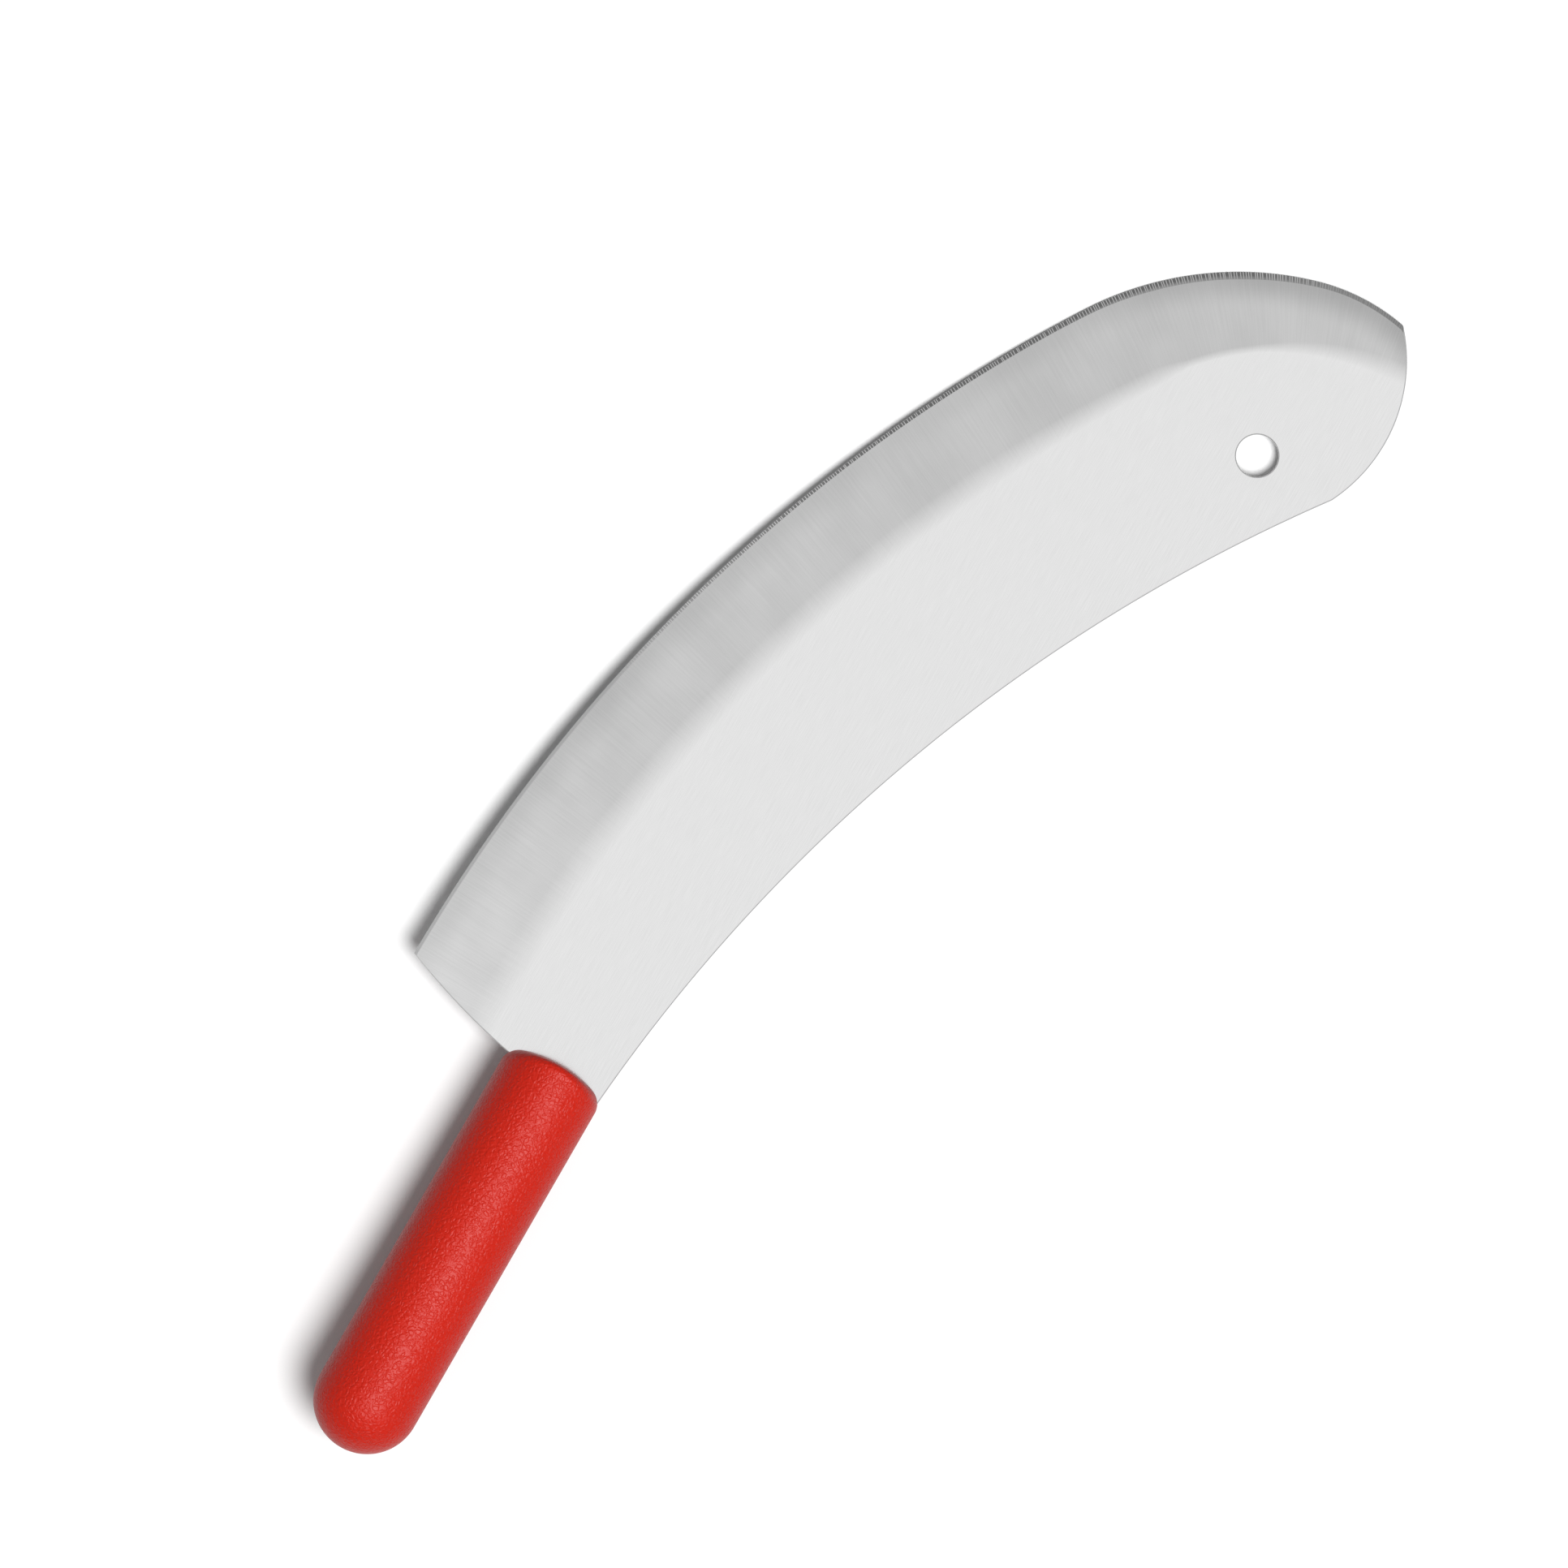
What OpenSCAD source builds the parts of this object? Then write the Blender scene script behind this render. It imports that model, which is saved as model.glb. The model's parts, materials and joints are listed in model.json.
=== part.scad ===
// Sickle-shaped chopping knife: a curved steel blade, ground and honed on both faces,
// with one round plastic handle moulded over its tang.
// The knife is drawn flat, with X along the handle towards the tip, Y towards the cutting
// edge and Z through the blade's thickness. It is then laid down the way it comes to rest.

/* [Cutting edge] */
// How far the heel corner lies ahead of the handle's front
heel_x = 7; // [4:0.5:12]
// Distance of the heel corner from the handle's axis
heel_y = 54.2; // [48:0.1:60]
// Slope of the edge towards the back at the heel, in degrees
heel_slope = 0.4; // [0:0.1:2]
// Radius of the long stretch of the edge
edge_r = 504.5; // [470:0.5:540]
// Angle through which the long stretch turns
edge_sweep = 31.7; // [29:0.1:34]
// Radius of the belly
belly_r = 98; // [85:1:110]
// Angle through which the belly turns
belly_sweep = 41.8; // [38:0.1:46]
// Radius of the last stretch, up to the tip corner
point_r = 61.4; // [55:0.1:68]
// Angle through which the last stretch turns
point_sweep = 26.6; // [22:0.1:30]

/* [Tip, back and heel] */
// Rounding of the tip corner
corner_r = 1; // [0.5:0.1:3]
// Angle through which the outline turns at the tip corner
corner_turn = 37.8; // [30:0.1:45]
// Radius of the round end of the blade
tip_r = 49.6; // [45:0.1:55]
// Angle through which the round end turns
tip_sweep = 68.5; // [60:0.5:75]
// Radius of the hollow back
back_r = 513; // [450:1:600]
// Radius of the slight outward bow of the heel
heel_r = 210; // [150:5:400]

/* [Steel] */
// Thickness of the blade
blade_t = 2; // [1.6:0.1:3]
// Width of the ground bevel along the long stretch
grind_w = 27.5; // [20:0.5:30]
// Thickness that the grinding leaves at the edge, before honing
grind_t = 0.6; // [0.4:0.05:0.9]
// Radius of the bevel's shoulder round the belly and the tip
tip_grind_r = 84; // [80:1:94]
// Angle by which the long stretch's shoulder runs on past the belly's start
grind_on = 1.1; // [0:0.1:3]
// Angle of the honed edge on each face
hone_angle = 17; // [14:0.5:22]
// Thickness of the honed edge itself
edge_t = 0.1; // [0.06:0.01:0.2]

/* [Hanging hole] */
// Diameter of the hanging hole
hole_d = 12.6; // [8:0.1:16]
// Distance of the hole's centre from the back
hole_from_back = 21.2; // [15:0.1:30]
// Distance of the hole's centre from the far end of the back, along the back
hole_from_end = 14.4; // [0:0.1:25]

/* [Tang] */
// Depth of the blade's shoulders in the handle
shoulder_in = 5; // [4.5:0.1:7]
// Height of the blade over the handle's axis at the shoulders
neck_top = 13; // [11:0.1:14]
// Depth of the blade under the handle's axis at the shoulders
neck_bottom = 15.3; // [12:0.1:15.5]
// Width of the tang
tang_w = 20; // [14:0.5:24]
// Length of the tang behind the shoulders
tang_l = 95; // [60:1:105]
// Diameter of the holes that the handle's plastic fills
anchor_d = 7; // [4:0.5:10]
// Distance of the front anchor hole behind the shoulders
anchor_in = 30; // [20:1:35]
// Distance between the anchor holes
anchor_pitch = 40; // [20:1:45]
// Number of anchor holes
anchors = 2; // [1:1:2]

/* [Handle] */
// Diameter of the handle
handle_d = 32.1; // [31:0.1:36]
// Length of the handle
handle_l = 131; // [125:1:160]
// Radius of the crowned front
crown_r = 38; // [30:1:60]
// Rounding between the crowned front and the handle's side
nose_r = 6; // [3:0.5:7]

/* [At rest] */
// Direction in which the blade leans down, turned from the handle's axis towards the edge
rest_turn = 30; // [20:1:40]

/* [Hidden] */
$fn = 180;

// How far the flats of an outline may lie inside its true curve
sag = 0.02;
// How far each cutter reaches past what it cuts
clear = 3;

// An arc is [start, heading, radius, sweep]. It turns right about a centre on its right,
// or left about a centre on its left where radius and sweep are negative.
function right_of(heading) = [sin(heading), -cos(heading)];
function centre(arc) = arc[0] + arc[2] * right_of(arc[1]);
function along(arc, turn) = centre(arc) - arc[2] * right_of(arc[1] - turn);
function end(arc) = along(arc, arc[3]);
function next(arc, r, sweep) = [end(arc), arc[1] - arc[3], r, sweep];
// The arc of radius r from p to q
function bow(p, q, r) =
    let (d = q - p, half = asin(norm(d) / 2 / r))
    [p, atan2(d[1], d[0]) + half, r, 2 * half];
function steps(arc) = ceil(abs(arc[3]) / (2 * acos(1 - sag / abs(arc[2]))));
function points(arc) = let (n = steps(arc)) [for (i = [0:n - 1]) along(arc, arc[3] * i / n)];

// Outline of the blade, clockwise from the shoulder under the heel
edge = [[heel_x, heel_y], -heel_slope, edge_r, edge_sweep];
belly = next(edge, belly_r, belly_sweep);
point = next(belly, point_r, point_sweep);
corner = next(point, corner_r, corner_turn);
tip = next(corner, tip_r, tip_sweep);
back = bow(end(tip), [-shoulder_in, -neck_bottom], -back_r);
heel = bow([-shoulder_in, neck_top], [heel_x, heel_y], heel_r);
blade_outline = [for (arc = [heel, edge, belly, point, corner, tip, back]) each points(arc)];

// Outline of the tang, from the shoulder at the back round to the shoulder under the heel
tang_end = [[tang_w / 2 - shoulder_in - tang_l, -tang_w / 2], 180, tang_w / 2, 180];
tang_outline = [
    end(back),
    [-shoulder_in, -tang_w / 2],
    each points(tang_end),
    end(tang_end),
    [-shoulder_in, tang_w / 2]
];

// Slope of the ground bevel, and the centre of its shoulder round the belly and the tip, which
// goes on from the long stretch's shoulder without a kink
grind_angle = atan((blade_t - grind_t) / 2 / grind_w);
joint_turn = belly[1] - grind_on;
joint_out = -right_of(joint_turn);
shoulder_r = edge_r - grind_w;
tip_grind_centre = centre(edge) + (shoulder_r - tip_grind_r) * joint_out;

// Centre of the hanging hole, set off from the hollow back
hole_turn = hole_from_end / back_r * 180 / PI;
hole = centre(back) + (back_r + hole_from_back) * right_of(back[1] + hole_turn);

// Outline of one half of the handle, from its front to its butt, as [radius, height]
handle_r = handle_d / 2;
crown_turn = asin((handle_r - nose_r) / (crown_r - nose_r));
crown = [[0, 0], 0, crown_r, crown_turn];
nose = next(crown, nose_r, 90 - crown_turn);
butt = [[handle_r, handle_r - handle_l], -90, handle_r, 90];
handle_outline = [each points(crown), each points(nose), each points(butt), end(butt)];

// At rest the knife stands on the rounding of the handle's nose and on the shoulder of
// the honed edge, at the outline's point that lies farthest in the leaning direction.
rest_dir = [cos(rest_turn), sin(rest_turn)];
reach = max([for (p = blade_outline) p * rest_dir]);
foot = [for (p = blade_outline) if (p * rest_dir == reach) p][0];
foot_w = norm(foot - tip_grind_centre) - tip_grind_r;
foot_t = blade_t / 2 - foot_w * tan(grind_angle);
hone_w = (foot_t - edge_t / 2) / (tan(hone_angle) - tan(grind_angle));
hone_t = edge_t / 2 + hone_w * tan(hone_angle);
nose_x = end(nose)[1];
function nose_drop(lean) =
    let (fore = sin(lean) * rest_dir[0])
    nose_x * fore + (handle_r - nose_r) * sqrt(1 - fore * fore) + nose_r;
function lean_after(n) =
    n == 0 ? 0 :
    let (last = lean_after(n - 1))
    asin((nose_drop(last) - hone_t * cos(last)) / (reach - hone_w));
lean = lean_after(8);
lean_axis = [-rest_dir[1], rest_dir[0], 0];

// A point of the flat knife, turned as the resting knife is
function leant(p) =
    p * cos(lean) + cross(lean_axis, p) * sin(lean) + lean_axis * (lean_axis * p) * (1 - cos(lean));
leant_tip = [for (p = blade_outline) leant([p[0], p[1], 0])];
leant_butt = leant([handle_r - handle_l, 0, 0]);
box_x = [leant_butt[0] - handle_r, max([for (p = leant_tip) p[0]])];
box_y = [min([for (p = leant_tip) p[1]]), max([for (p = leant_tip) p[1]])];

module at_rest() {
    translate([-(box_x[0] + box_x[1]) / 2, -(box_y[0] + box_y[1]) / 2, nose_drop(lean)])
        rotate(lean, lean_axis)
            children();
}

// The sheet that the blade is cut from, with its tang and the anchor holes in it
module plate() {
    difference() {
        linear_extrude(blade_t, center = true)
            polygon(concat(blade_outline, tang_outline));
        for (i = [0:anchors - 1])
            translate([-shoulder_in - anchor_in - i * anchor_pitch, 0, 0])
                cylinder(h = blade_t + clear, d = anchor_d, center = true);
    }
}

// Its children, less what a wheel takes off both their faces as they turn past it about a
// centre. The wheel's slope passes through radius r at height z, and falls outwards.
module wheel(middle, r, z, slope, in, out, from, sweep) {
    difference() {
        children();
        translate([middle[0], middle[1], 0])
            rotate_extrude(angle = sweep, start = from - sweep)
                for (face = [-1, 1])
                    polygon([
                        [r - in, face * (z + in * tan(slope))],
                        [r - in, face * blade_t],
                        [r + out, face * blade_t],
                        [r + out, face * (z - out * tan(slope))]
                    ]);
    }
}

// Its children with the broad bevel that starts at radius r about a centre
module ground(middle, r, from, sweep) {
    wheel(middle, r, blade_t / 2, grind_angle, clear, grind_w + clear, from, sweep)
        children();
}

// Its children with the narrow bevels that meet at the edge, along one of its arcs
module honed(arc, before = 0, after = 0) {
    in = blade_t / 2 / tan(hone_angle);
    out = edge_t / 4 / tan(hone_angle);
    from = arc[1] + 90 + before;
    wheel(centre(arc), arc[2], edge_t / 2, hone_angle, in, out, from, before + arc[3] + after)
        children();
}

// The bevels run on past the heel and the tip corner, and the belly's narrow bevel overlaps
// the long one by a little, so that no wall is left between them.
module blade() {
    past_heel = 3;
    past_corner = 3;
    past_tip = 60;
    overlap = 1;
    color("gainsboro")
        at_rest()
            difference() {
                honed(point, after = past_corner)
                honed(belly, before = overlap)
                honed(edge, before = past_heel)
                ground(tip_grind_centre, tip_grind_r, joint_turn + 90, belly_sweep + past_tip)
                ground(centre(edge), shoulder_r, edge[1] + 90 + past_heel, past_heel + edge_sweep + grind_on)
                    plate();
                translate([hole[0], hole[1], 0])
                    cylinder(h = blade_t + clear, d = hole_d, center = true);
            }
}

// The handle's plastic closes round the tang and fills the anchor holes
module handle() {
    color("firebrick")
        at_rest()
            difference() {
                rotate([0, 90, 0])
                    rotate_extrude()
                        polygon(handle_outline);
                plate();
            }
}

blade();
handle();
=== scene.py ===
import json
import math
from collections import namedtuple

import bmesh
import bpy
from mathutils import Matrix, Vector


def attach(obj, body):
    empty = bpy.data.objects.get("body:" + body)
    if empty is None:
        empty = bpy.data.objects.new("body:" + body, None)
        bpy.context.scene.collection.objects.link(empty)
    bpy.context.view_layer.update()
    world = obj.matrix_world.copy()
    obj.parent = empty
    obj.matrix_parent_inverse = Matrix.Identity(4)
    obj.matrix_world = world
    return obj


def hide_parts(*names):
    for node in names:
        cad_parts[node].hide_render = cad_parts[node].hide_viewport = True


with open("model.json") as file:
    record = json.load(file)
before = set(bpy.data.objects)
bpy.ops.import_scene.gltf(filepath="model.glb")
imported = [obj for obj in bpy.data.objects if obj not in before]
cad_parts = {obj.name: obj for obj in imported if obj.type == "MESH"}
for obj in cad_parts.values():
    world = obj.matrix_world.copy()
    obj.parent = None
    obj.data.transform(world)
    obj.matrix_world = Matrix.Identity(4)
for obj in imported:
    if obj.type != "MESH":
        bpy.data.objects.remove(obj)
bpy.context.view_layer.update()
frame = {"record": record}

# Blade
# A sickle-shaped steel plate, 2 mm thick and cut out with its tang in one piece. Both faces are
# ground down along the outer curve with a wheel and then honed to an edge, and the flats are satin.

# Sizes are in millimetres and angles in degrees. The flat knife has X along the handle
# towards the tip, Y towards the cutting edge and Z through the blade.
HEEL_CORNER = Vector((7, 54.2, 0))
HEEL_SLOPE = 0.4
EDGE_R, EDGE_SWEEP = 504.5, 31.7
BELLY_R, BELLY_SWEEP = 98, 41.8
POINT_R, POINT_SWEEP = 61.4, 26.6
CORNER_R, CORNER_SWEEP = 1, 37.8
TIP_R, TIP_SWEEP = 49.6, 68.5
BACK_R = 513
HEEL_R = 210
BLADE_T = 2
GRIND_W, GRIND_T = 27.5, 0.6
TIP_GRIND_R, GRIND_ON = 84, 1.1
EDGE_T = 0.1
HOLE_D = 12.6
HOLE_FROM_BACK, HOLE_FROM_END = 21.2, 14.4
SHOULDER_IN = 5
NECK_TOP, NECK_BOTTOM = 13, 15.3
TANG_W, TANG_L = 20, 95
ANCHOR_D, ANCHOR_IN, ANCHOR_PITCH, ANCHORS = 7, 30, 40, 2

# Radius to which the rims are eased, and the most that it takes of half the thickness
EASE, EASE_SHARE = 0.35, 0.6
# The turns of the rings that ease a rim
EASE_TURNS = (0, 30, 60, 90)
# How far the bevel's shoulder is softened to each side, against the distance from the heel
SOFTNESS = ((0, 4.5), (230, 3.7), (291, 2.6), (303, 1.2), (330, 1.1), (345, 1.7), (370, 2.6), (390, 3))
SOFT_STEPS = 8
# Where rings lie on the bevel, as shares of its width from the shoulder to the honed edge
BEVEL_RINGS = (0.93, 0.8, 0.6, 0.4, 0.2)
# Width of the honed bevel, against the distance from the heel
HONE_WIDTHS = ((0, 0.9), (200, 1), (270, 1.5), (300, 2.2), (330, 2.2), (362, 1.4), (385, 1.3))
# Spacing of the outline's points on its long arcs, and on the tighter ones
PITCH, HEEL_PITCH, CORNER_PITCH, TIP_PITCH, TANG_PITCH = 0.8, 0.4, 0.15, 0.5, 1
HOLE_STEPS = 96
# A step this small is left out, and points this close are merged
TINY, MERGE = 1e-4, 1e-3

# An arc turns right by its sweep about a centre on its right, or left where both are negative
Arc = namedtuple("Arc", "start heading radius sweep")


def right_of(heading):
    return Vector((math.sin(math.radians(heading)), -math.cos(math.radians(heading)), 0))


def centre(arc):
    return arc.start + arc.radius * right_of(arc.heading)


def end(arc):
    return centre(arc) - arc.radius * right_of(arc.heading - arc.sweep)


def follow(arc, radius, sweep):
    """The arc that goes on from the end of another without a kink."""
    return Arc(end(arc), arc.heading - arc.sweep, radius, sweep)


def bow(p, q, radius):
    """The arc of that radius from p to q."""
    d = q - p
    half = math.degrees(math.asin(d.length / 2 / radius))
    return Arc(p, math.degrees(math.atan2(d.y, d.x)) + half, radius, 2 * half)


def sweep_point(bm, vertex, arc, pitch):
    """Sweeps a vertex along an arc, and gives the vertices that it leaves, in order."""
    count = len(bm.verts)
    steps = max(1, round(abs(arc.radius * math.radians(arc.sweep)) / pitch))
    angle = -math.radians(arc.sweep)
    bmesh.ops.spin(bm, geom=[vertex], cent=centre(arc), axis=(0, 0, 1), angle=angle, steps=steps)
    return bm.verts[:][count:]


def draw_to(bm, vertex, point):
    """Draws a straight line from a vertex to a point, and gives its end."""
    made = bmesh.ops.extrude_vert_indiv(bm, verts=[vertex])["verts"][0]
    made.co = point
    return made


def extrude_rim(bm, edges, put):
    """Extrudes edges by one step, moves each new vertex as put does, and gives the new rim."""
    made = bmesh.ops.extrude_edge_only(bm, edges=edges)["geom"]
    verts = {g for g in made if isinstance(g, bmesh.types.BMVert)}
    for v in verts:
        put(v)
    return [g for g in made if isinstance(g, bmesh.types.BMEdge) and verts.issuperset(g.verts)]


def mark_sharp(edges):
    for e in edges:
        e.smooth = False


# The arcs of the outline, clockwise from the shoulder under the heel
edge = Arc(HEEL_CORNER, -HEEL_SLOPE, EDGE_R, EDGE_SWEEP)
belly = follow(edge, BELLY_R, BELLY_SWEEP)
point = follow(belly, POINT_R, POINT_SWEEP)
corner = follow(point, CORNER_R, CORNER_SWEEP)
tip = follow(corner, TIP_R, TIP_SWEEP)
heel = bow(Vector((-SHOULDER_IN, NECK_TOP, 0)), HEEL_CORNER, HEEL_R)
back = bow(end(tip), Vector((-SHOULDER_IN, -NECK_BOTTOM, 0)), -BACK_R)
tang_end = Arc(Vector((TANG_W / 2 - SHOULDER_IN - TANG_L, -TANG_W / 2, 0)), 180, TANG_W / 2, 180)

# The hanging hole is set off from the hollow back
hole_turn = math.degrees(HOLE_FROM_END / BACK_R)
hole = centre(back) + (BACK_R + HOLE_FROM_BACK) * right_of(back.heading + hole_turn)

# The bevel's shoulder runs round the long stretch's centre, then round one of its own, and the
# two join at a direction a little past the belly's start
grind_slope = (BLADE_T - GRIND_T) / 2 / GRIND_W
shoulder_r = EDGE_R - GRIND_W
joint_out = -right_of(belly.heading - GRIND_ON)
tip_grind = centre(edge) + (shoulder_r - TIP_GRIND_R) * joint_out

# The outline is drawn in the middle plane. Each of its vertices starts a column of the mesh,
# which carries how far along the edge it is, how deep behind it, and how much of it is ground.
bm = bmesh.new()
layers = {n: bm.verts.layers.float.new(n) for n in ("along", "depth", "ground")}
column_of = bm.verts.layers.int.new("column")
outline = [bm.verts.new(heel.start)]
starts = {}
for name, arc, pitch in (
    ("heel", heel, HEEL_PITCH),
    ("edge", edge, PITCH),
    ("belly", belly, PITCH),
    ("point", point, PITCH),
    ("corner", corner, CORNER_PITCH),
    ("tip", tip, TIP_PITCH),
    ("back", back, PITCH),
):
    starts[name] = len(outline) - 1
    outline += sweep_point(bm, outline[-1], arc, pitch)
outline.append(draw_to(bm, outline[-1], Vector((-SHOULDER_IN, -TANG_W / 2, 0))))
outline.append(draw_to(bm, outline[-1], tang_end.start))
outline += sweep_point(bm, outline[-1], tang_end, TANG_PITCH)
outline.append(draw_to(bm, outline[-1], Vector((-SHOULDER_IN, TANG_W / 2, 0))))
bm.edges.new((outline[-1], outline[0]))

# A column has its point of the outline, the way inwards from there and half the thickness that
# is left. Where it is ground, it also has its place along the edge, the centre, the radius and the
# softness of the bevel's shoulder, the arc that it is honed along and the honed bevel's width.
Column = namedtuple(
    "Column",
    "rim inward half_t along grind shoulder soft honing hone",
    defaults=(0, None, None, None, None, None),
)


def read_table(table, along):
    """The value at a distance from the heel, from a table of (distance, value)."""
    for (a, low), (b, high) in zip(table, table[1:]):
        if along < b:
            return low + (high - low) * max(0, along - a) / (b - a)
    return table[-1][1]


def ground_share(p, grind, shoulder, soft):
    """How far the ground slope has set in at a point, from 0 on the flat to 1 on the bevel."""
    return min(max(((p - grind).length - shoulder + soft) / (2 * soft), 0), 1)


def half_thickness(p, grind, shoulder, soft):
    """Half the blade's thickness at a point of the ground bevel."""
    out = (p - grind).length - shoulder
    share = ground_share(p, grind, shoulder, soft)
    drop = out if share == 1 else share * share * soft
    return BLADE_T / 2 - grind_slope * drop


def make_column(i):
    before, here, after = (outline[k % len(outline)].co for k in (i - 1, i, i + 1))
    sides = [Vector((d.y, -d.x, 0)).normalized() for d in (here - before, after - here)]
    inward = (sides[0] + sides[1]) / (1 + sides[0].dot(sides[1]))
    if i >= starts["back"]:
        return Column(here.copy(), inward, BLADE_T / 2)
    before_joint = (here - centre(edge)).cross(joint_out).z < 0
    long_part = i <= starts["belly"] or (i < starts["point"] and before_joint)
    grind, shoulder = (centre(edge), shoulder_r) if long_part else (tip_grind, TIP_GRIND_R)
    honing = edge if i <= starts["belly"] else belly if i <= starts["point"] else point
    toward = (grind - here).normalized()
    past_heel = math.radians(90 + edge.heading) - math.atan2(-toward.y, -toward.x)
    past_joint = max(0, past_heel - math.radians(EDGE_SWEEP + GRIND_ON))
    along = (past_heel - past_joint) * EDGE_R + past_joint * (TIP_GRIND_R + GRIND_W)
    soft = read_table(SOFTNESS, along)
    half_t = half_thickness(here, grind, shoulder, soft)
    # The honed bevel's width, less what the outline has already left of it
    across = (centre(honing) - here).normalized().dot(toward)
    full = read_table(HONE_WIDTHS, along)
    inside = min(full, max(0, honing.radius - (here - centre(honing)).length))
    hone = full - inside
    honed_t = half_t + hone * across * grind_slope
    rim_t = EDGE_T / 2 + (honed_t - EDGE_T / 2) * inside / full
    return Column(
        here.copy(), inward, min(half_t, rim_t), along, grind, shoulder, soft, honing, hone / across
    )


columns = [make_column(i) for i in range(len(outline))]
for i, v in enumerate(outline):
    v[column_of] = i
    v[layers["along"]] = columns[i].along


def mark_ground(v, c, p):
    """Keeps on a vertex of a ground column how it lies to the bevel and to the edge."""
    v[layers["ground"]] = ground_share(p, c.grind, c.shoulder, c.soft)
    v[layers["depth"]] = c.honing.radius - (p - centre(c.honing)).length


def eased(half_t, turn):
    """The inset and the height of one ring of a rim's easing."""
    r = min(EASE, EASE_SHARE * half_t)
    a = math.radians(turn)
    return r * (1 - math.cos(a)), half_t - r * (1 - math.sin(a))


def rim_point(c, turn):
    """A column's point on one ring of its rim's easing."""
    inset, height = eased(c.half_t, turn)
    p = c.rim + c.inward * inset
    p.z = height
    return p


def place_rim(turn):
    """For extrude_rim: puts a vertex on one ring of the rim's easing."""

    def put(v):
        c = columns[v[column_of]]
        v.co = rim_point(c, turn)
        if v[column_of] < starts["back"]:
            mark_ground(v, c, c.rim)

    return put


def place_bevel(radius_of):
    """For extrude_rim: puts a vertex at a radius round the grinding centre, but never past the rim."""

    def put(v):
        c = columns[v[column_of]]
        p = rim_point(c, EASE_TURNS[-1])
        flat = Vector((p.x, p.y, 0))
        rim_r = (flat - c.grind).length
        r = radius_of(c, rim_r)
        if r < rim_r - TINY:
            p = c.grind + (flat - c.grind).normalized() * r
            mark_ground(v, c, p)
            p.z = half_thickness(p, c.grind, c.shoulder, c.soft)
        v.co = p

    return put


def at_hone(c, rim_r):
    """For place_bevel: the radius at which the honed bevel ends."""
    return rim_r - c.hone


def on_bevel(share):
    """For place_bevel: the radius of a ring on the ground bevel, from its shoulder outwards."""
    return lambda c, rim_r: c.shoulder + c.soft + share * max(0, at_hone(c, rim_r) - c.shoulder - c.soft)


def on_shoulder(share):
    """For place_bevel: the radius of a ring on the softened shoulder, from -1 inside to 1."""
    return lambda c, rim_r: min(at_hone(c, rim_r), c.shoulder + share * c.soft)


# The upper half of the blade, from the middle plane up over the eased rim and then inwards
rim = bm.edges[:]
for turn in EASE_TURNS:
    rim = extrude_rim(bm, rim, place_rim(turn))
mark_sharp(rim)
rim_faces = bm.faces[:]

# The bevels lie between where the shoulder leaves the heel and where it meets the round end
bevel_from = max(
    i
    for i in range(starts["edge"])
    if (columns[i].rim - centre(edge)).length < shoulder_r - SOFTNESS[0][1]
)
bevel_to = min(
    i
    for i in range(starts["tip"], starts["back"])
    if (columns[i].rim - tip_grind).length < TIP_GRIND_R - SOFTNESS[-1][1]
)
strip = [e for e in rim if all(bevel_from <= v[column_of] <= bevel_to for v in e.verts)]
strip = extrude_rim(bm, strip, place_bevel(at_hone))
mark_sharp(strip)
honed_faces = [f for e in strip for f in e.link_faces]
for share in BEVEL_RINGS:
    strip = extrude_rim(bm, strip, place_bevel(on_bevel(share)))
for k in range(SOFT_STEPS + 1):
    strip = extrude_rim(bm, strip, place_bevel(on_shoulder(1 - 2 * k / SOFT_STEPS)))

# The blade's material slots
SATIN, HONED, CUT = 0, 1, 2
for index, faces in ((HONED, honed_faces), (CUT, rim_faces)):
    for f in faces:
        f.material_index = index
bmesh.ops.remove_doubles(bm, verts=bm.verts[:], dist=MERGE)
bmesh.ops.dissolve_degenerate(bm, edges=bm.edges[:], dist=TINY)


def place_hole_rim(middle, radius, turn):
    """For extrude_rim: puts a vertex on one ring of the easing of a round hole's rim."""
    inset, height = eased(BLADE_T / 2, turn)

    def put(v):
        out = Vector((v.co.x - middle.x, v.co.y - middle.y, 0)).normalized()
        v.co = middle + out * (radius + inset)
        v.co.z = height

    return put


# The hanging hole and the tang's anchor holes, the flat that is left round them, and then the
# lower half as a mirror image
holes = [(hole, HOLE_D / 2)]
for i in range(ANCHORS):
    holes.append((Vector((-SHOULDER_IN - ANCHOR_IN - i * ANCHOR_PITCH, 0, 0)), ANCHOR_D / 2))
outer_faces = set(bm.faces)
for middle, radius in holes:
    circle = bmesh.ops.create_circle(
        bm, segments=HOLE_STEPS, radius=radius, matrix=Matrix.Translation(middle)
    )
    hole_rim = list({e for v in circle["verts"] for e in v.link_edges})
    for turn in EASE_TURNS:
        hole_rim = extrude_rim(bm, hole_rim, place_hole_rim(middle, radius, turn))
    mark_sharp(hole_rim)
for f in bm.faces:
    if f not in outer_faces:
        f.material_index = CUT
flat_rim = [e for e in bm.edges if e.is_boundary and min(v.co.z for v in e.verts) > BLADE_T / 4]
filled = bmesh.ops.triangle_fill(bm, edges=flat_rim, use_beauty=True, normal=(0, 0, 1))["geom"]
for g in filled:
    if isinstance(g, bmesh.types.BMFace):
        g.material_index = SATIN
bmesh.ops.mirror(bm, geom=bm.verts[:] + bm.edges[:] + bm.faces[:], axis="Z", merge_dist=TINY)
bmesh.ops.recalc_face_normals(bm, faces=bm.faces[:])
for f in bm.faces:
    f.smooth = True

# The knife lies as the frame does, where the hanging hole's mount puts it
MM = 0.001
mount = frame["record"]["mounts"][0]
up = Vector(mount["axis"]).normalized()
lean_axis = Vector((0, 0, 1)).cross(up).normalized()
lean = Matrix.Rotation(math.acos(up.z), 4, lean_axis)
at_rest = Matrix.Translation(Vector(mount["pos_m"]) - lean @ (hole * MM)) @ lean @ Matrix.Scale(MM, 4)


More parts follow.
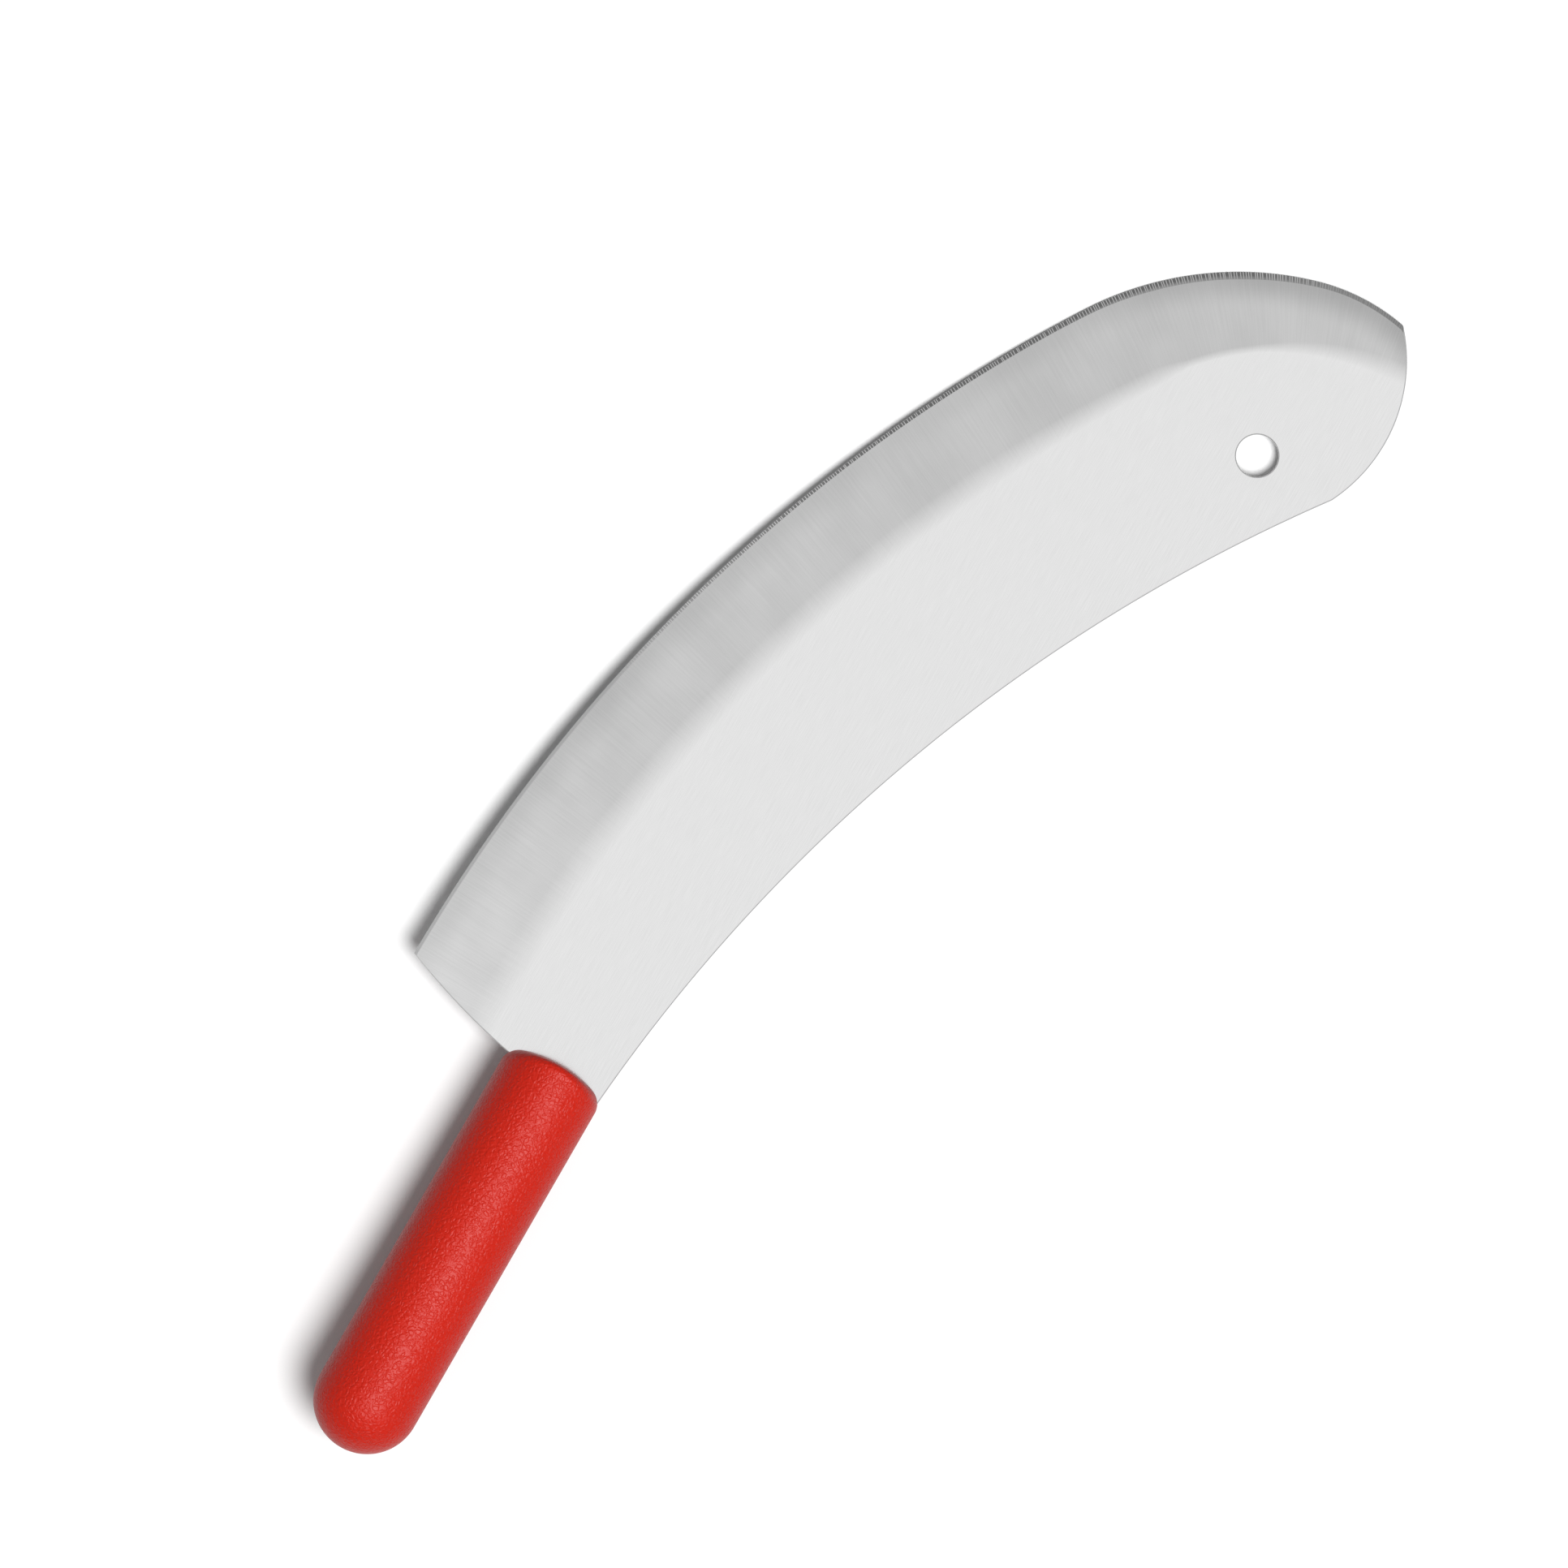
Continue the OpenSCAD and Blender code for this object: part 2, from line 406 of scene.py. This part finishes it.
def finish_piece(bm, name):
    """Lays a piece down as the knife rests, and makes its object."""
    bmesh.ops.transform(bm, matrix=at_rest, verts=bm.verts[:])
    mesh = bpy.data.meshes.new(name)
    bm.to_mesh(mesh)
    bm.free()
    piece = bpy.data.objects.new(name, mesh)
    bpy.context.scene.collection.objects.link(piece)
    return piece


bm.verts.layers.int.remove(column_of)
blade = finish_piece(bm, "blade_steel")


def new_material(name, base, metallic, roughness):
    """A material and its shader, with its constants on the shader's own sockets."""
    material = bpy.data.materials.new(name)
    material.use_nodes = True
    shader = material.node_tree.nodes["Principled BSDF"]
    shader.inputs["Base Color"].default_value = (*base, 1)
    shader.inputs["Metallic"].default_value = metallic
    shader.inputs["Roughness"].default_value = roughness
    return material, shader


def add(tree, kind, inputs=(), **settings):
    """Adds a node, with its settings, and its inputs by name as values or as sockets to link."""
    node = tree.nodes.new("ShaderNode" + kind)
    for name, value in settings.items():
        setattr(node, name, value)
    for name, value in dict(inputs).items():
        if isinstance(value, bpy.types.NodeSocket):
            tree.links.new(value, node.inputs[name])
        else:
            node.inputs[name].default_value = value
    return node


def work_out(tree, operation, *values):
    """The result of an operation on numbers or sockets."""
    return add(tree, "Math", dict(enumerate(values)), operation=operation).outputs[0]


def blend(tree, share, low, high):
    """A value between two others, low where the share is 0 and high where it is 1."""
    return add(tree, "Mix", {0: share, 2: low, 3: high}, data_type="FLOAT").outputs[0]


def remap(tree, value, start, stop, low=0, high=1, curve="LINEAR"):
    """A value that runs from low to high while another runs from start to stop."""
    inputs = {"Value": value, "From Min": start, "From Max": stop, "To Min": low, "To Max": high}
    return add(tree, "MapRange", inputs, interpolation_type=curve).outputs[0]


def attribute(tree, name):
    """What the mesh carries under a name."""
    return add(tree, "Attribute", attribute_name=name, attribute_type="GEOMETRY").outputs["Fac"]


def grey_ramp(tree, along, greys):
    """A grey from a table of (distance from the heel, grey)."""
    ramp = add(tree, "ValToRGB", {"Fac": remap(tree, along, 0, RAMP_LENGTH)})
    stops = ramp.color_ramp.elements
    while len(stops) < len(greys):
        stops.new(1)
    for stop, (distance, grey) in zip(stops, greys):
        stop.position = distance / RAMP_LENGTH
        stop.color = (grey, grey, grey, 1)
    return ramp.outputs["Color"]


def paint_grey(tree, shader, grey):
    """Gives a shader a base colour of one grey."""
    colour = add(tree, "CombineColor", {n: grey for n in ("Red", "Green", "Blue")})
    tree.links.new(colour.outputs[0], shader.inputs["Base Color"])


def raise_relief(tree, shader, height, strength, distance):
    """Gives a shader the relief of a height."""
    relief = add(tree, "Bump", {"Height": height, "Strength": strength, "Distance": distance})
    tree.links.new(relief.outputs[0], shader.inputs["Normal"])


def new_group(name, inputs, outputs):
    """A node group, its tree's input node and its output node."""
    group = bpy.data.node_groups.new(name, "ShaderNodeTree")
    for kind, names in (("INPUT", inputs), ("OUTPUT", outputs)):
        for socket, form in names.items():
            group.interface.new_socket(name=socket, in_out=kind, socket_type="NodeSocket" + form)
    return group, group.nodes.new("NodeGroupInput"), group.nodes.new("NodeGroupOutput")


def use_group(tree, group, inputs):
    return add(tree, "Group", inputs, node_tree=group).outputs[0]


# Distance from the heel that the ramps span, past the tip
RAMP_LENGTH = 400
# Most of a noise lies between these values
NOISE_LOW, NOISE_HIGH = 0.3, 0.7
# Strength and distance of the steel's relief, the distance in metres
STEEL_RELIEF = 0.15, 0.00003

# Fine lines that a belt or a wheel leaves, about one pitch apart along the first axis of the
# vector and drawn out along the second
DRAWN_OUT = 0.03
streaks, given, result = new_group("streaks", {"Vector": "Vector", "Pitch": "Float"}, {"Height": "Float"})
axes = add(streaks, "SeparateXYZ", {"Vector": given.outputs["Vector"]})
across_lines = work_out(streaks, "DIVIDE", axes.outputs["X"], given.outputs["Pitch"])
along_lines = work_out(streaks, "DIVIDE", axes.outputs["Y"], given.outputs["Pitch"])
along_lines = work_out(streaks, "MULTIPLY", along_lines, DRAWN_OUT)
line_place = add(streaks, "CombineXYZ", {"X": across_lines, "Y": along_lines})
noise = add(
    streaks,
    "TexNoise",
    {"Vector": line_place.outputs[0], "Scale": 1, "Detail": 3, "Roughness": 0.6},
    noise_dimensions="2D",
)
streaks.links.new(noise.outputs["Fac"], result.inputs["Height"])

# The flat's satin runs along the blade, and the wheel's lines run across the bevel. The satin's
# pitch is in metres, as the object's coordinates are, and the wheel's in millimetres.
SATIN_PITCH, WHEEL_PITCH = 0.00025, 0.6
FLAT_GREY = 0.775
STEEL_ROUGHNESS = 0.11, 0.16
LINE_TINT = 0.03
# The bevel is a darker grey, most of all beside the honed edge and round the belly. The grey is partly the
# duller ground finish and partly painted reflection: the darker tone that the bevel's tilt away from the
# studio's light would mirror is painted into it
DEEP_FINISH_AND_REFLECTION = ((0, 0.655), (88, 0.575), (220, 0.55), (288, 0.54), (330, 0.545), (375, 0.575))
NEAR_FINISH_AND_REFLECTION = ((0, 0.6), (88, 0.49), (220, 0.52), (288, 0.475), (330, 0.41), (375, 0.415))
NEAR_DEPTH, DEEP_DEPTH = 1.5, 11
# Its grey is a little uneven in large patches
PATCH_SCALE, PATCH_TINT = 0.045, 0.035

satin_steel, shader = new_material("steel_satin", base=(0.75, 0.75, 0.75), metallic=1, roughness=0.3)
tree = satin_steel.node_tree
along, depth, ground = (attribute(tree, n) for n in ("along", "depth", "ground"))
place = add(tree, "TexCoord").outputs["Object"]
cross_place = add(tree, "Mapping", {"Vector": place, "Rotation": (0, 0, math.pi / 2)}).outputs[0]
bevel_place = add(tree, "CombineXYZ", {"X": along, "Y": depth}).outputs[0]
satin_lines = use_group(tree, streaks, {"Vector": cross_place, "Pitch": SATIN_PITCH})
wheel_lines = use_group(tree, streaks, {"Vector": bevel_place, "Pitch": WHEEL_PITCH})
lines = blend(tree, ground, satin_lines, wheel_lines)
# The bevel's grey: ground finish with painted reflection, darker towards the honed edge and round the belly
deep, near = (grey_ramp(tree, along, greys) for greys in (DEEP_FINISH_AND_REFLECTION, NEAR_FINISH_AND_REFLECTION))
grey = blend(tree, remap(tree, depth, NEAR_DEPTH, DEEP_DEPTH, curve="SMOOTHSTEP"), near, deep)
patches = add(
    tree,
    "TexNoise",
    {"Vector": bevel_place, "Scale": PATCH_SCALE, "Detail": 2},
    noise_dimensions="2D",
).outputs["Fac"]
patches = remap(tree, patches, NOISE_LOW, NOISE_HIGH, 1 - PATCH_TINT, 1 + PATCH_TINT)
grey = blend(tree, ground, FLAT_GREY, work_out(tree, "MULTIPLY", grey, patches))
tint = remap(tree, lines, NOISE_LOW, NOISE_HIGH, 1 - LINE_TINT, 1 + LINE_TINT)
paint_grey(tree, shader, work_out(tree, "MULTIPLY", grey, tint))
roughness = remap(tree, lines, NOISE_LOW, NOISE_HIGH, *STEEL_ROUGHNESS)
tree.links.new(roughness, shader.inputs["Roughness"])
raise_relief(tree, shader, lines, *STEEL_RELIEF)

# The honed bevel is as light as the ground bevel next to the heel, and darkest round the belly. Its grey is
# partly the honed finish and partly painted reflection: the darker tone that its steep facet would mirror is
# painted into it
HONE_FINISH_AND_REFLECTION = (
    (0, 0.54), (110, 0.48), (176, 0.25), (225, 0.19), (300, 0.175), (330, 0.19), (358, 0.31), (385, 0.35)
)
# The stone leaves marks across it, which set in along the long stretch and fade out
# towards the tip. Their relief is real, and they are lighter by a painted glint
MARK_PITCH, MARK_SPREAD = 0.9, 0.55
MARK_SIDE, MARK_CORE = 0.22, 0.08
BETWEEN_MARKS, GLINT_ON_MARKS = 0.85, 2.8
MARKS_SET_IN = 100, 180
MARKS_FADE_OUT, MARKS_LEFT = (335, 360), 0.15
# On its inner half the honed bevel fades into the ground one
FADE_DEPTHS, FADE_GREY = (1, 2.4), 0.38

honed_steel, shader = new_material("steel_honed", base=(0.3, 0.3, 0.3), metallic=1, roughness=0.35)
tree = honed_steel.node_tree
along, depth = (attribute(tree, n) for n in ("along", "depth"))
marks_and_glints = add(
    tree,
    "TexVoronoi",
    {"W": work_out(tree, "DIVIDE", along, MARK_PITCH), "Scale": 1, "Randomness": MARK_SPREAD},
    voronoi_dimensions="1D",
).outputs["Distance"]
# Lighter grey on the marks is a painted glint; the same value gives their relief
marks_and_glints = remap(tree, marks_and_glints, MARK_SIDE, MARK_CORE, BETWEEN_MARKS, GLINT_ON_MARKS, "SMOOTHSTEP")
marked = remap(tree, along, *MARKS_FADE_OUT, remap(tree, along, *MARKS_SET_IN), MARKS_LEFT)
# The honed grey, with its painted reflection, times the marks and their painted glints
grey = work_out(tree, "MULTIPLY", grey_ramp(tree, along, HONE_FINISH_AND_REFLECTION), blend(tree, marked, 1, marks_and_glints))
paint_grey(tree, shader, blend(tree, remap(tree, depth, *FADE_DEPTHS), grey, FADE_GREY))
raise_relief(tree, shader, marks_and_glints, *STEEL_RELIEF)

# The rim that the stamping leaves is duller than the faces
cut_steel, _ = new_material("steel_cut", base=(0.66, 0.66, 0.66), metallic=1, roughness=0.45)
for material in (satin_steel, honed_steel, cut_steel):
    blade.data.materials.append(material)
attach(blade, "root")
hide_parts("blade")

# Handle
# A round bar of red plastic with a leathery grain, moulded over the blade's tang in one shot.
# Its front is crowned and rounded, and its butt is half round.
HANDLE_D, HANDLE_L = 32.1, 131
CROWN_R, NOSE_R, TOP_NOSE_R = 38, 6, 2.2
FRONT_PITCH, BUTT_PITCH = 0.5, 0.6
SIDE_RINGS, TURN_STEPS = 59, 192
SHARP_ANGLE = 40

handle_r = HANDLE_D / 2
crown_turn = math.degrees(math.asin((handle_r - NOSE_R) / (CROWN_R - NOSE_R)))
crown = Arc(Vector((0, 0, 0)), 90, -CROWN_R, -crown_turn)
nose = follow(crown, -NOSE_R, crown_turn - 90)
butt = Arc(Vector((handle_r - HANDLE_L, handle_r, 0)), 180, -handle_r, -90)

bm = bmesh.new()
profile = [bm.verts.new(crown.start)]
profile += sweep_point(bm, profile[-1], crown, FRONT_PITCH)
profile += sweep_point(bm, profile[-1], nose, FRONT_PITCH)
profile.append(draw_to(bm, profile[-1], butt.start))
sweep_point(bm, profile[-1], butt, BUTT_PITCH)
side = max(bm.edges, key=lambda e: e.calc_length())
bmesh.ops.subdivide_edges(bm, edges=[side], cuts=SIDE_RINGS)
bmesh.ops.spin(
    bm,
    geom=bm.verts[:] + bm.edges[:],
    cent=(0, 0, 0),
    axis=(1, 0, 0),
    angle=math.tau,
    steps=TURN_STEPS,
    use_merge=True,
)
bmesh.ops.remove_doubles(bm, verts=bm.verts[:], dist=MERGE)
bmesh.ops.recalc_face_normals(bm, faces=bm.faces[:])
for f in bm.faces:
    f.smooth = True

# The crown bends the front only from side to side, and its upper rim is rounded by less. The
# lower rim, on which the knife stands, keeps more of its rounding.
for v in bm.verts:
    if v.co.x > end(nose).x - MERGE:
        out = math.hypot(v.co.y, v.co.z)
        if v.co.z <= 0:
            v.co.x += math.sqrt(CROWN_R**2 - v.co.y**2) - math.sqrt(CROWN_R**2 - out**2)
        else:
            past = max(0, out - handle_r + TOP_NOSE_R)
            top_x = math.sqrt(max(0, TOP_NOSE_R**2 - past**2)) - TOP_NOSE_R
            v.co.x += (top_x - v.co.x) * (v.co.z / out) ** 2
handle = finish_piece(bm, "handle_plastic")

# The plastic closes round the tang and fills its anchor holes
moulding = handle.modifiers.new("tang", "BOOLEAN")
moulding.operation = "DIFFERENCE"
moulding.solver = "EXACT"
moulding.object = blade
moulded = handle.evaluated_get(bpy.context.evaluated_depsgraph_get())
handle.data = bpy.data.meshes.new_from_object(moulded)
handle.modifiers.clear()
handle.data.materials.clear()

# It stands on the front's lower rim, which is pressed flat there by a fraction of a millimetre
bm = bmesh.new()
bm.from_mesh(handle.data)
for v in bm.verts:
    v.co.z = max(v.co.z, 0)
for f in bm.faces:
    f.material_index = 0
bmesh.ops.remove_doubles(bm, verts=bm.verts[:], dist=2 * MERGE * MM)
bmesh.ops.dissolve_degenerate(bm, edges=bm.edges[:], dist=2 * MERGE * MM)
bm.to_mesh(handle.data)
bm.free()
handle.data.set_sharp_from_angle(angle=math.radians(SHARP_ANGLE))

# The mould gives the plastic the grain of fine leather: domed cells, bent by a noise, with a
# finer noise on top. Sizes are in metres.
GRAIN_SIZE = 0.0015
GRAIN_RELIEF = 1, 0.00012
BEND_SCALE, BEND = 0.9, 1.3
DOME_WIDTH = 0.3
FINE_SCALE, FINE_SHARE = 2.5, 0.7

grain, given, result = new_group("leather_grain", {"Vector": "Vector", "Size": "Float"}, {"Height": "Float"})
inverse = work_out(grain, "DIVIDE", 1, given.outputs["Size"])
in_cells = add(
    grain, "VectorMath", {0: given.outputs["Vector"], "Scale": inverse}, operation="SCALE"
).outputs[0]
bend = add(grain, "TexNoise", {"Vector": in_cells, "Scale": BEND_SCALE, "Detail": 2}).outputs["Color"]
bent = add(grain, "VectorMath", {0: bend, 1: (BEND, BEND, BEND), 2: in_cells}, operation="MULTIPLY_ADD")
cells = add(
    grain, "TexVoronoi", {"Vector": bent.outputs[0], "Scale": 1}, feature="DISTANCE_TO_EDGE"
).outputs["Distance"]
domes = remap(grain, cells, 0, DOME_WIDTH, curve="SMOOTHSTEP")
fine = add(grain, "TexNoise", {"Vector": in_cells, "Scale": FINE_SCALE, "Detail": 2}).outputs["Fac"]
grain.links.new(work_out(grain, "MULTIPLY_ADD", fine, FINE_SHARE, domes), result.inputs["Height"])

plastic, shader = new_material("plastic_red", base=(0.6, 0.0135, 0.003), metallic=0, roughness=0.41)
tree = plastic.node_tree
shader.inputs["Specular IOR Level"].default_value = 0.26
place = add(tree, "TexCoord").outputs["Object"]
leather = use_group(tree, grain, {"Vector": place, "Size": GRAIN_SIZE})
raise_relief(tree, shader, leather, *GRAIN_RELIEF)
handle.data.materials.append(plastic)
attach(handle, "root")
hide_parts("handle")

# Camera
# Square onto the blade from far off, with the handle's axis about 30 degrees off the picture's
# upright. The middle is in the flat knife's millimetres, and the distance and width in metres.
VIEW_MIDDLE = Vector((105.3, -15.9, 0))
VIEW_TURN = 60.06
VIEW_DISTANCE = 4.0
VIEW_WIDTH = 0.4655
SENSOR = 36

camera = bpy.data.objects.new("camera", bpy.data.cameras.new("camera"))
bpy.context.scene.collection.objects.link(camera)
camera.data.sensor_width = SENSOR
camera.data.lens = SENSOR * VIEW_DISTANCE / VIEW_WIDTH
view_right = lean @ right_of(90 - VIEW_TURN)
view_up = lean @ -right_of(-VIEW_TURN)
facing = Matrix((view_right, view_up, up)).transposed().to_4x4()
camera.matrix_world = Matrix.Translation(at_rest @ VIEW_MIDDLE + up * VIEW_DISTANCE) @ facing
bpy.context.scene.camera = camera

# Light
# A broad soft lamp stands off the picture's lower right, and an even light comes from all round.
LAMP_TILT = 21
LAMP_SPREAD = 26
LAMP_STRENGTH = 2.8
AMBIENT = 0.24
HORIZON = 0.18

lamp = bpy.data.objects.new("lamp", bpy.data.lights.new("lamp", "SUN"))
bpy.context.scene.collection.objects.link(lamp)
lamp.data.energy = LAMP_STRENGTH
lamp.data.angle = math.radians(LAMP_SPREAD)
tilt = math.radians(LAMP_TILT)
lamp_from = up * math.cos(tilt) + (view_right - view_up).normalized() * math.sin(tilt)
lamp.rotation_euler = lamp_from.to_track_quat("Z", "Y").to_euler()
# The steel mirrors the studio's white, and not the lamp
unlit = bpy.data.collections.new("mirrors_no_lamp")
unlit.objects.link(blade)
unlit.collection_objects[0].light_linking.link_state = "EXCLUDE"
lamp.light_linking.receiver_collection = unlit


def background_rays(tree, path):
    """1 for the rays that show the background, and 0 for those that light the knife."""
    seen = work_out(tree, "MAXIMUM", path["Is Camera Ray"], path["Is Glossy Ray"])
    return work_out(tree, "MAXIMUM", seen, path["Is Transmission Ray"])


# The background is white. What mirrors it sees it get darker from overhead to the horizon, so that
# shiny sides keep their form.
world = bpy.data.worlds.new("studio")
bpy.context.scene.world = world
world.use_nodes = True
# It has no bright spot, so it needs no light samples of its own
world.cycles.sampling_method = "NONE"
tree = world.node_tree
path = add(tree, "LightPath").outputs
direction = add(tree, "TexCoord").outputs["Generated"]
height = add(tree, "SeparateXYZ", {"Vector": direction}).outputs["Z"]
white = blend(tree, path["Is Camera Ray"], remap(tree, height, 0, 1, HORIZON, 1), 1)
strength = remap(tree, background_rays(tree, path), 0, 1, AMBIENT, white)
backdrop = tree.nodes["Background"]
backdrop.inputs["Color"].default_value = (1, 1, 1, 1)
tree.links.new(strength, backdrop.inputs["Strength"])

# Floor
# A plain white surface that the knife lies on. It looks white, but throws little light back up.
FLOOR_SIZE = 20
FLOOR_BOUNCE = 0.1

bm = bmesh.new()
bmesh.ops.create_grid(bm, x_segments=1, y_segments=1, size=FLOOR_SIZE)
floor_mesh = bpy.data.meshes.new("floor")
bm.to_mesh(floor_mesh)
bm.free()
floor = bpy.data.objects.new("floor", floor_mesh)
bpy.context.scene.collection.objects.link(floor)
paper = bpy.data.materials.new("paper")
paper.use_nodes = True
tree = paper.node_tree
tree.nodes.remove(tree.nodes["Principled BSDF"])
path = add(tree, "LightPath").outputs
tone = remap(tree, background_rays(tree, path), 0, 1, FLOOR_BOUNCE, 1)
matte = add(tree, "BsdfDiffuse", {"Color": tone})
tree.links.new(matte.outputs[0], tree.nodes["Material Output"].inputs["Surface"])
floor.data.materials.append(paper)

bpy.context.scene.view_settings.view_transform = "Standard"

bpy.context.view_layer.update()
